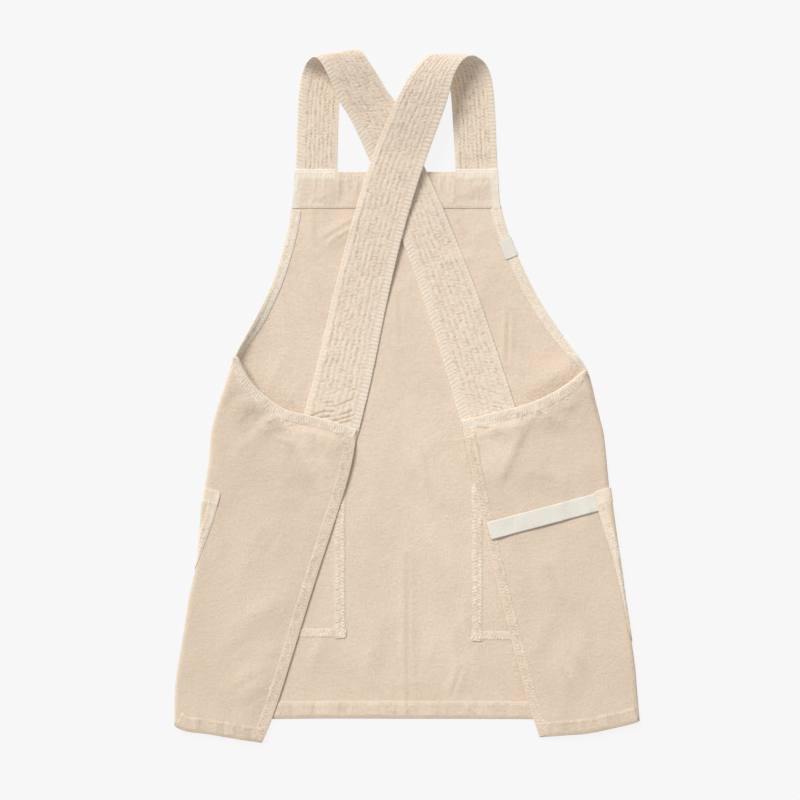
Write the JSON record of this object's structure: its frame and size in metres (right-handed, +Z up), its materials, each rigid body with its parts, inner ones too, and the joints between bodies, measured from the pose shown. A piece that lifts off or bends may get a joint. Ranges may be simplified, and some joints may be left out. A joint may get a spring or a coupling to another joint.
{
  "type": "cross-back smock",
  "caption": "Sleeveless canvas work smock laid flat with its back up: one wrapped cloth, wide quilted straps that cross behind, side pockets, bound armholes and a tape loop.",
  "frame": {"origin": "on the floor under the middle of the laid smock", "axes": "+Y along the garment towards the straps, +X to the right seen from above, +Z up from the floor"},
  "size_m": [0.6732, 1.0008, 0.0276],
  "materials": {
    "canvas": "washed matt canvas",
    "seam_canvas": "washed, paler at the stitched edges",
    "quilted_canvas": "washed canvas quilted in rows",
    "grey_tape": "woven tape"
  },
  "bodies": {
    "root": {"body": "canvas", "bib_band": "seam_canvas", "facing_left": "seam_canvas", "facing_right": "seam_canvas", "binding_left": "seam_canvas", "binding_right": "seam_canvas", "back_hem_left": "seam_canvas", "back_hem_right": "seam_canvas", "hem_front": "seam_canvas", "hem_left": "seam_canvas", "hem_right": "seam_canvas", "pocket_left": "canvas", "pocket_right": "canvas", "strap_left": "quilted_canvas", "strap_right": "quilted_canvas", "tape_loop": "grey_tape", "edge_tab": "grey_tape"}
  },
  "joints": []
}
